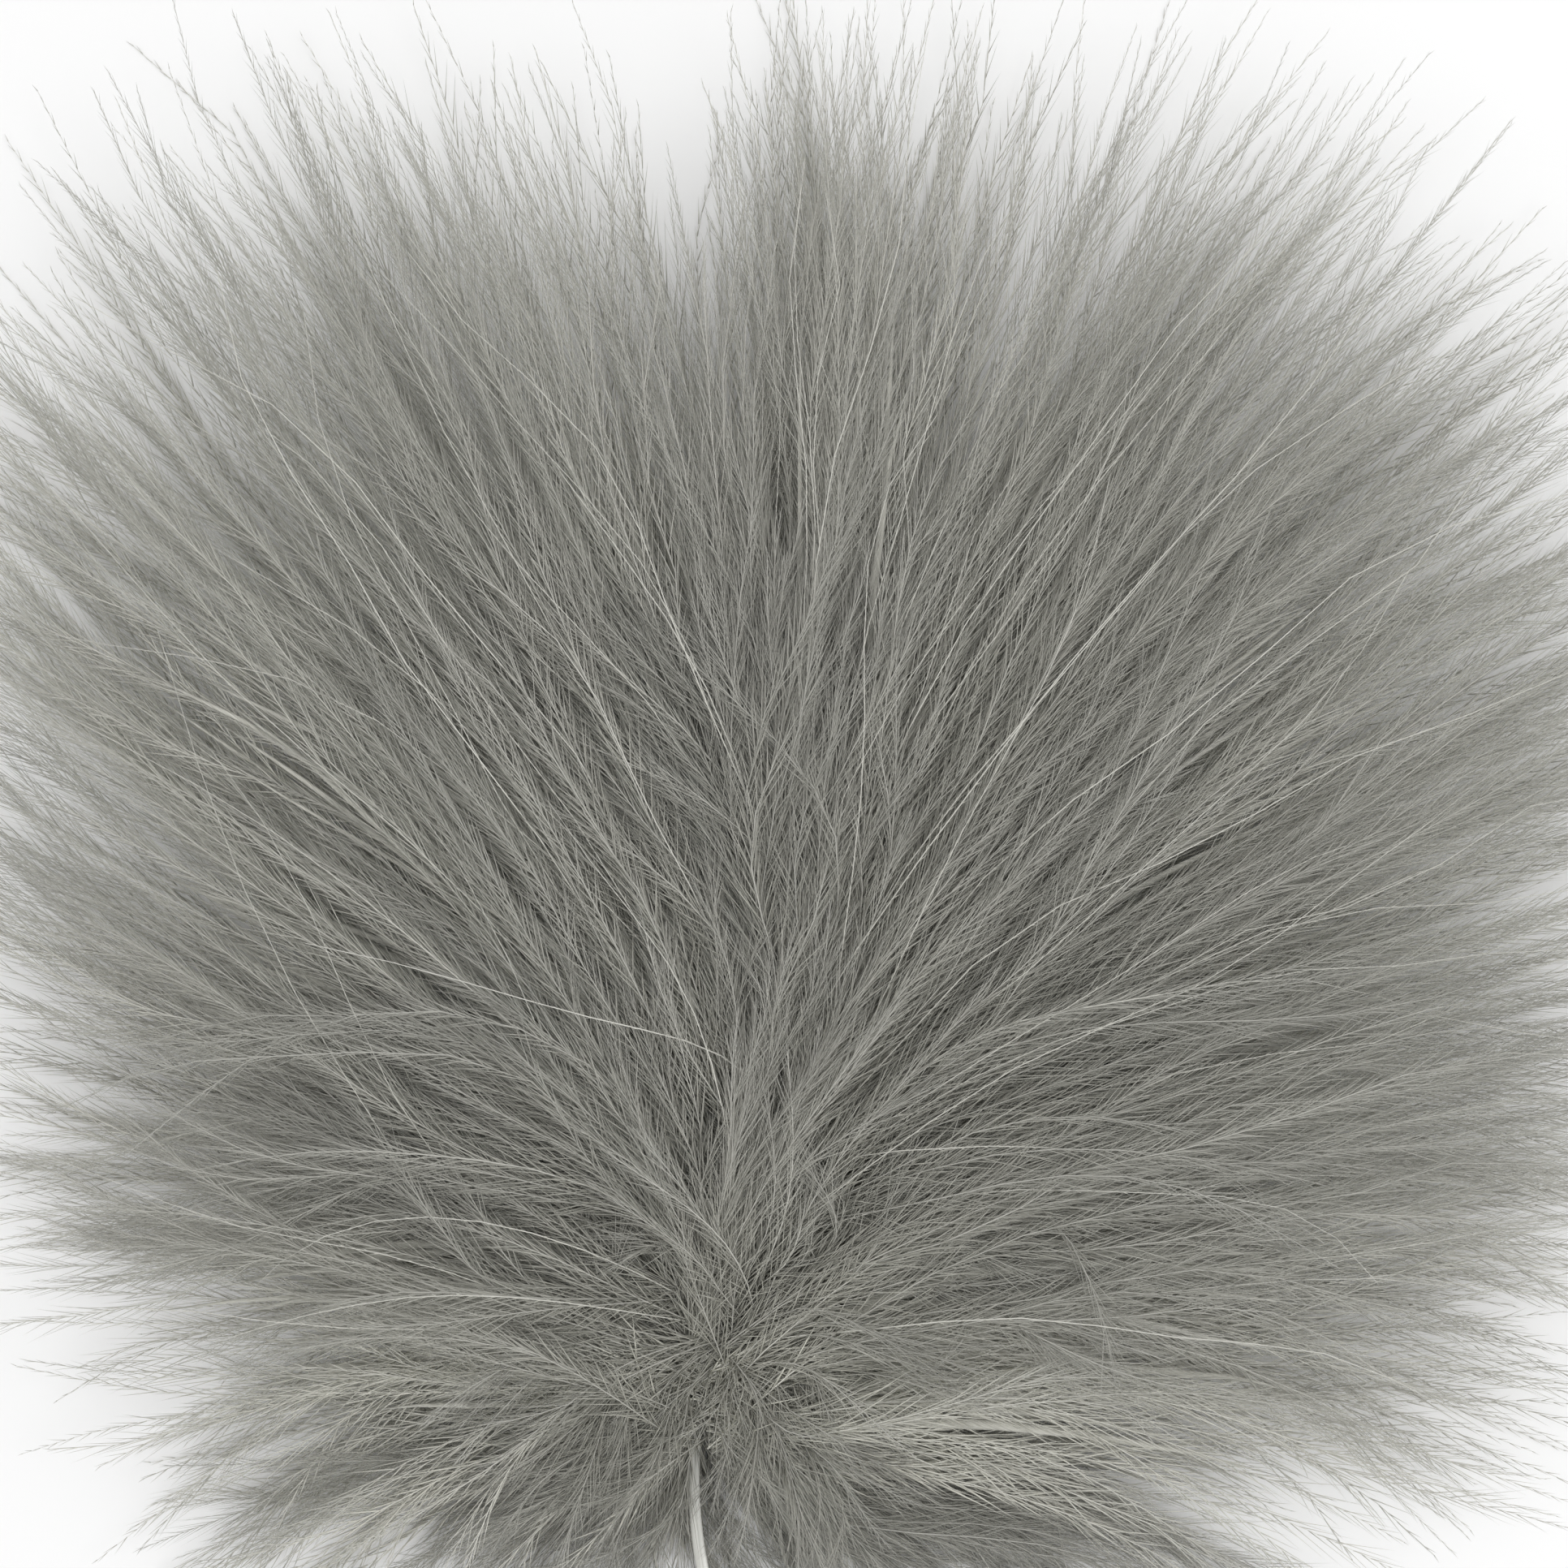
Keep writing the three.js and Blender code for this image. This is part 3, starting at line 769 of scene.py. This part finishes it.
def barb_tree():
    """Geometry Nodes that turn guide lines into barbs: each line a three-sided tapering tube,
    with a slender closed spike for every barbule, by turns to its left and right."""
    tree = bpy.data.node_groups.new("barbs_with_barbules", "GeometryNodeTree")
    geometry = "NodeSocketGeometry"
    tree.interface.new_socket("Guide lines", in_out="INPUT", socket_type=geometry)
    for name, kind in BARB_INPUTS.items():
        tree.interface.new_socket(name, in_out="INPUT", socket_type=kind)
    tree.interface.new_socket("Barbs", in_out="OUTPUT", socket_type=geometry)
    given = add_node(tree, "NodeGroupInput").outputs
    thickness, fringe, along, roll = (
        add_node(tree, "GeometryNodeInputNamedAttribute", {"Name": name}).outputs[0]
        for name in ("thickness", "fringe", "along", "roll")
    )
    lines = add_node(tree, "GeometryNodeMeshToCurve", {0: given["Guide lines"]}).outputs[0]
    section = add_node(
        tree, "GeometryNodeCurvePrimitiveCircle", {"Resolution": 3, "Radius": 1.0}
    ).outputs[0]
    stems = add_node(
        tree,
        "GeometryNodeCurveToMesh",
        {"Curve": lines, "Profile Curve": section, "Scale": thickness, "Fill Caps": True},
    ).outputs[0]
    level = add_node(
        tree, "GeometryNodeSetCurveNormal", {"Curve": lines}, mode="Z_UP"
    ).outputs[0]
    points = add_node(
        tree,
        "GeometryNodeCurveToPoints",
        {"Curve": level, "Length": given["Barbule spacing"]},
        mode="LENGTH",
    ).outputs
    index = add_node(tree, "GeometryNodeInputIndex").outputs[0]
    turn = add_node(tree, MATH, {0: index, 1: 2.0}, operation="MODULO").outputs[0]
    side = add_node(tree, MATH, {0: turn, 1: 2.0, 2: -1.0}, operation="MULTIPLY_ADD").outputs[0]
    # Each barbule has its own splay, roll and length, by chance.
    chances = []
    splays = (given["Narrowest splay"], given["Widest splay"])
    for offset, (low, high) in enumerate((splays, (-1.0, 1.0), BARBULE_LENGTHS)):
        seeds = {0: given["Seed"], 1: float(offset)}
        seed = add_node(tree, MATH, seeds, operation="ADD").outputs[0]
        spans = {2: low, 3: high, 7: index, 8: seed}
        chance = add_node(tree, "FunctionNodeRandomValue", spans, data_type="FLOAT")
        chances.append(chance.outputs[1])
    wide, leaning, long = chances
    # Towards the tip barbules close up to the barb a little and are finer.
    closing = add_node(
        tree, MATH, {0: along, 1: -BARBULE_CLOSING, 2: 1.0}, operation="MULTIPLY_ADD"
    ).outputs[0]
    aside = add_node(tree, MATH, {0: side, 1: closing}, operation="MULTIPLY").outputs[0]
    splay = add_node(tree, MATH, {0: aside, 1: wide}, operation="MULTIPLY").outputs[0]
    rolled = add_node(tree, MATH, {0: roll, 1: leaning}, operation="MULTIPLY").outputs[0]
    turned = add_node(tree, "ShaderNodeCombineXYZ", {"Y": splay, "Z": rolled}).outputs[0]
    away = add_node(tree, "FunctionNodeEulerToRotation", {0: turned}).outputs[0]
    rotation = add_node(
        tree,
        "FunctionNodeRotateRotation",
        {0: points["Rotation"], 1: away},
        rotation_space="LOCAL",
    ).outputs[0]
    spread = add_node(tree, MATH, {0: fringe, 1: long}, operation="MULTIPLY").outputs[0]
    half = given["Barbule half width"]
    for _ in range(2):
        half = add_node(tree, MATH, {0: half, 1: closing}, operation="MULTIPLY").outputs[0]
    thin = add_node(tree, MATH, {0: half, 1: BARBULE_FLATNESS}, operation="MULTIPLY").outputs[0]
    size = add_node(tree, "ShaderNodeCombineXYZ", {"X": half, "Y": thin, "Z": spread}).outputs[0]
    cone = add_node(
        tree,
        "GeometryNodeMeshCone",
        {"Vertices": 3, "Radius Top": 0.0, "Radius Bottom": 1.0, "Depth": 1.0},
        fill_type="NGON",
    ).outputs[0]
    # Each spike knows where on itself a place is, for the streaks of its material.
    position = add_node(tree, "GeometryNodeInputPosition").outputs[0]
    spike = add_node(
        tree,
        "GeometryNodeStoreNamedAttribute",
        {"Geometry": cone, "Name": "fibre", "Value": position},
        data_type="FLOAT_VECTOR",
        domain="POINT",
    ).outputs[0]
    barbules = add_node(
        tree,
        "GeometryNodeInstanceOnPoints",
        {"Points": points["Points"], "Instance": spike, "Rotation": rotation, "Scale": size},
    ).outputs[0]
    real = add_node(tree, "GeometryNodeRealizeInstances", {0: barbules}).outputs[0]
    both = add_node(tree, "GeometryNodeJoinGeometry")
    for part, fluff in ((stems, 0.0), (real, 1.0)):
        told = add_node(
            tree,
            "GeometryNodeStoreNamedAttribute",
            {"Geometry": part, "Name": "fluff", "Value": fluff},
            data_type="FLOAT",
            domain="POINT",
        ).outputs[0]
        tree.links.new(told, both.inputs[0])
    whole = add_node(tree, "GeometryNodeRealizeInstances", {0: both.outputs[0]}).outputs[0]
    dressed = add_node(
        tree, "GeometryNodeSetMaterial", {"Geometry": whole, "Material": given["Down"]}
    ).outputs[0]
    add_node(tree, "NodeGroupOutput", {0: dressed})
    return tree


def grown(name, barbs, tree, material, settings, fineness):
    """The finished piece that the tree makes of those barbs, pressed flat onto the table where
    it would reach into it."""
    apart, wide = fineness
    guides = bpy.data.objects.new(f"{name}_guides", guide_mesh(f"{name}_guides", barbs))
    bpy.context.scene.collection.objects.link(guides)
    modifier = guides.modifiers.new("barbs", "NODES")
    modifier.node_group = tree
    values = {
        "Barbule spacing": settings.barbule_spacing * apart,
        "Barbule half width": settings.barbule_width / 2 * wide,
        "Narrowest splay": settings.narrowest_splay,
        "Widest splay": settings.widest_splay,
        "Seed": settings.seed,
        "Down": material,
    }
    for socket in tree.interface.items_tree:
        if socket.name in values:
            modifier[socket.identifier] = values[socket.name]
    evaluated = guides.evaluated_get(bpy.context.evaluated_depsgraph_get())
    mesh = bpy.data.meshes.new_from_object(evaluated)
    mesh.name = name
    guides.modifiers.remove(modifier)
    bpy.data.objects.remove(guides)
    places = np.zeros(len(mesh.vertices) * 3, np.float32)
    mesh.vertices.foreach_get("co", places)
    heights, low = places[2::3], PRESSED * MM
    places[2::3] = np.where(heights < low, low * np.exp(np.minimum(heights / low, 1) - 1), heights)
    mesh.vertices.foreach_set("co", places)
    for attribute in ("thickness", "fringe", "roll"):
        if attribute in mesh.attributes:
            mesh.attributes.remove(mesh.attributes[attribute])
    return piece_of(name, mesh)


# What a user would change.


def colour(name, description, default):
    """A colour setting, from its sRGB hex value."""
    value = {"default": linear(default), "size": 3, "min": 0, "max": 1}
    return FloatVectorProperty(name=name, description=description, subtype="COLOR", **value)


def length_setting(name, description, millimetres):
    """A length setting, from its value in millimetres."""
    return FloatProperty(
        name=name, description=description, default=millimetres * MM, unit="LENGTH"
    )


def angle_setting(name, description, degrees):
    """An angle setting, from its value in degrees."""
    return FloatProperty(
        name=name, description=description, default=math.radians(degrees), subtype="ANGLE"
    )


class DownSettings(bpy.types.PropertyGroup):
    """Sizes and colours of the down."""

    tufts_per_lock: IntProperty(
        name="Tufts per lock", description="Tufts in each lock", default=5, min=1, max=12
    )
    barbs_per_tuft: IntProperty(
        name="Barbs per tuft", description="Barbs in each tuft", default=5, min=1, max=12
    )
    barb_width: length_setting("Barb width", "Width of a barb's stem where it grows", 0.13)
    barbule_spacing: length_setting(
        "Barbule spacing", "Distance from a sheaf of barbules to the next, on alternate sides", 0.46
    )
    barbule_length: length_setting("Barbule length", "Length of the longest barbules", 4.6)
    barbule_width: length_setting(
        "Barbule width", "Width of a sheaf of barbules where it grows", 0.2
    )
    narrowest_splay: angle_setting(
        "Narrowest splay", "Least angle from a barb to its barbules", 8
    )
    widest_splay: angle_setting("Widest splay", "Largest angle from a barb to its barbules", 32)
    barbule_roll: angle_setting(
        "Barbule roll", "How far barbules stand up or hang from the level", 45
    )
    seed: IntProperty(name="Seed", description="Chooses another lie of the barbs", default=7)
    # The stems are a little lighter than the barbules, and the roots deeper and more olive than the
    # tips: partly the down's own dye, partly a painted highlight along the stems and painted shade
    # near the shaft.
    barb_root_colour: colour("Barb root", "Colour of a barb's stem near the shaft", "#b9b8b0")
    barb_tip_colour: colour("Barb tip", "Colour of a barb's stem near its tip", "#bebdb6")
    barbule_root_colour: colour("Barbule root", "Colour of barbules near the shaft", "#aeada2")
    barbule_tip_colour: colour("Barbule tip", "Colour of barbules near the tip", "#bbbab3")
    # Painted light: the inner down is painted paler than the barbs, to lift the shade deep in the
    # plume.
    deep_painted_light_colour: colour("Deep down", "Colour between the inner down's streaks", "#dddcd3")


class QuillSettings(bpy.types.PropertyGroup):
    """Sizes and colours of the quill."""

    groove_depth: FloatProperty(
        name="Groove depth",
        description="Depth of the groove along the quill, as a share of its radius",
        default=0.35,
        min=0,
        max=0.6,
        subtype="FACTOR",
    )
    quill_colour: colour("Quill", "Colour of the horny quill", "#f2f2ec")
    groove_colour: colour("Quill streaks", "Colour of the quill's streaks", "#b8b8b0")


class StageSettings(bpy.types.PropertyGroup):
    """The table, the light and the camera."""

    table_colour: colour("Table", "Colour of the table", "#f4f4f4")
    frame_side: length_setting(
        "Frame side", "Side of the square that the camera takes in, at the down's middle height", 100
    )
    lens: FloatProperty(
        name="Lens", description="Focal length on a 36 mm sensor", default=120, unit="CAMERA"
    )
    sky_strength: FloatProperty(
        name="Even light", description="Strength of the light from all sides", default=0.97
    )
    lamp_power: FloatProperty(
        name="Lamp power", description="Power of the large soft lamp", default=1.4, unit="POWER"
    )


class FEATHER_OT_quill(bpy.types.Operator):
    """Build the bare quill and the shaft that goes on from it inside the down"""

    bl_idname = "feather.quill"
    bl_label = "Quill"

    def execute(self, context):
        settings = context.scene.feather_quill
        # Rings close together near both ends finish them bluntly.
        share = np.concatenate([[0, 0.002], np.linspace(0.006, 0.995, QUILL_RINGS), [1]])
        points = curve_at(SHAFT_LINE, share)
        taper = between((1, SHAFT_TIP_RADIUS / QUILL_RADIUS), share**SHAFT_TAPER)
        end = np.minimum(1, QUILL_END_WIDTH + share / QUILL_END_SHARE)
        radii, depth = BARE_RADIUS * taper * end, settings.groove_depth
        shaft = tube(points, radii, QUILL_SIDES, QUILL_SQUEEZE, depth, GROOVE_AT)
        mesh = mesh_of("quill", [shaft])
        mesh.materials.append(quill_material(settings))
        piece_of("quill", mesh)
        return {"FINISHED"}


class FEATHER_OT_inner_down(bpy.types.Operator):
    """Build the dense matted down inside each lock, which closes the plume under the barbs"""

    bl_idname = "feather.inner_down"
    bl_label = "Inner down"

    def execute(self, context):
        settings = context.scene.feather_down
        strands = []
        for tier_name, side_name, index, number in every_lock():
            random = np.random.default_rng([settings.seed, STRAND_SEED, number])
            for _ in range(STRANDS_PER_LOCK):
                strands.append(
                    matted_strand(TIERS[tier_name], SIDES[side_name], index, number, random)
                )
        mesh = mesh_of("inner_down", strands)
        mesh.materials.append(inner_down_material(settings))
        piece_of("inner_down", mesh)
        return {"FINISHED"}


class FEATHER_OT_barbs(bpy.types.Operator):
    """Build every barb with its barbules, tier by tier and side by side"""

    bl_idname = "feather.barbs"
    bl_label = "Barbs"

    def execute(self, context):
        settings = context.scene.feather_down
        tree = barb_tree()
        outer = down_material("keratin_down_dyed_grey", settings)
        # The middle and skirt tiers get painted light near the shaft, to lift the shade deep in the
        # plume; the base tier gets painted shade at the quill.
        inner = down_material("keratin_down_dyed_grey_deeper_painted_light", settings, INNER_PAINTED_LIGHT)
        lower = down_material("keratin_down_dyed_grey_at_the_quill_painted_shade", settings, BASE_PAINTED_SHADE)
        materials = {"crown": outer, "middle": inner, "skirt": inner, "base": lower}
        for tier_name in TIERS:
            for side_name in SIDES:
                barbs = barbs_of(tier_name, side_name, settings)
                name, fineness = f"down_{tier_name}_{side_name}", FINENESS[tier_name]
                grown(name, barbs, tree, materials[tier_name], settings, fineness)
        mantle, loose = mantle_barbs(settings), loose_barbs(settings)
        grown("down_mantle", mantle, tree, outer, settings, FINENESS["mantle"])
        grown("down_loose_barbs", loose, tree, outer, settings, FINENESS["loose"])
        return {"FINISHED"}


class FEATHER_OT_stage(bpy.types.Operator):
    """Build the pale table, the soft light and the camera that looks straight down"""

    bl_idname = "feather.stage"
    bl_label = "Table, light and camera"

    def execute(self, context):
        settings = context.scene.feather_stage
        scene = context.scene
        half = TABLE_HALF
        corners = [(-half, -half, 0), (half, -half, 0), (half, half, 0), (-half, half, 0)]
        mesh = bpy.data.meshes.new("table")
        mesh.from_pydata(corners, [], [(0, 1, 2, 3)])
        material, tree = new_material("card_matt_pale")
        place = add_node(tree, "ShaderNodeTexCoord").outputs["Object"]
        # Fibres of smooth card, about 0.5 mm.
        fibres = add_node(
            tree, "ShaderNodeTexNoise", {"Vector": place, "Scale": 1 / (0.5 * MM)}
        ).outputs["Fac"]
        finish_material(tree, (*settings.table_colour, 1), fibres, 0.02, Roughness=0.9)
        mesh.materials.append(material)
        table = bpy.data.objects.new("table", mesh)
        scene.collection.objects.link(table)

        world = bpy.data.worlds.new("even_light")
        world.use_nodes = True
        sky = world.node_tree.nodes["Background"]
        sky.inputs["Color"].default_value = (1, 1, 1, 1)
        sky.inputs["Strength"].default_value = settings.sky_strength
        scene.world = world

        lamp = bpy.data.lights.new("soft_lamp", "AREA")
        lamp.shape = "DISK"
        lamp.size = LAMP_SIZE
        lamp.energy = settings.lamp_power
        light = bpy.data.objects.new("soft_lamp", lamp)
        light.location = LAMP_PLACE
        light.rotation_mode = "QUATERNION"
        light.rotation_quaternion = light.location.to_track_quat("Z", "Y")
        scene.collection.objects.link(light)

        data = bpy.data.cameras.new("camera")
        data.sensor_width = SENSOR
        data.lens = settings.lens
        reach = settings.frame_side / 2 / (data.sensor_width / 2 / data.lens)
        camera = bpy.data.objects.new("camera", data)
        camera.location = placed(FRAME_MIDDLE)
        camera.location.z += reach
        data.clip_start, data.clip_end = NEAREST, FURTHEST
        scene.collection.objects.link(camera)
        scene.camera = camera
        scene.view_settings.view_transform = "Standard"
        return {"FINISHED"}


OPERATORS = (FEATHER_OT_stage, FEATHER_OT_quill, FEATHER_OT_inner_down, FEATHER_OT_barbs)


class FEATHER_PT_panel(bpy.types.Panel):
    """Lists the feather's pieces and settings"""

    bl_idname = "FEATHER_PT_panel"
    bl_label = "Marabou Feather"
    bl_space_type = "VIEW_3D"
    bl_region_type = "UI"
    bl_category = "Feather"

    def draw(self, context):
        for operator in OPERATORS:
            self.layout.operator(operator.bl_idname)
        for name in SETTINGS:
            settings = getattr(context.scene, name)
            box = self.layout.box()
            for setting in settings.__annotations__:
                box.prop(settings, setting)


SETTINGS = {
    "feather_down": DownSettings,
    "feather_quill": QuillSettings,
    "feather_stage": StageSettings,
}
CLASSES = (*SETTINGS.values(), *OPERATORS, FEATHER_PT_panel)


def register():
    for kind in CLASSES:
        bpy.utils.register_class(kind)
    for name, kind in SETTINGS.items():
        setattr(bpy.types.Scene, name, PointerProperty(type=kind))


def unregister():
    for name in SETTINGS:
        delattr(bpy.types.Scene, name)
    for kind in reversed(CLASSES):
        bpy.utils.unregister_class(kind)


def main():
    """Builds the stage and every piece."""
    register()
    bpy.ops.feather.stage()
    bpy.ops.feather.quill()
    bpy.ops.feather.inner_down()
    bpy.ops.feather.barbs()


if __name__ == "__main__":
    main()
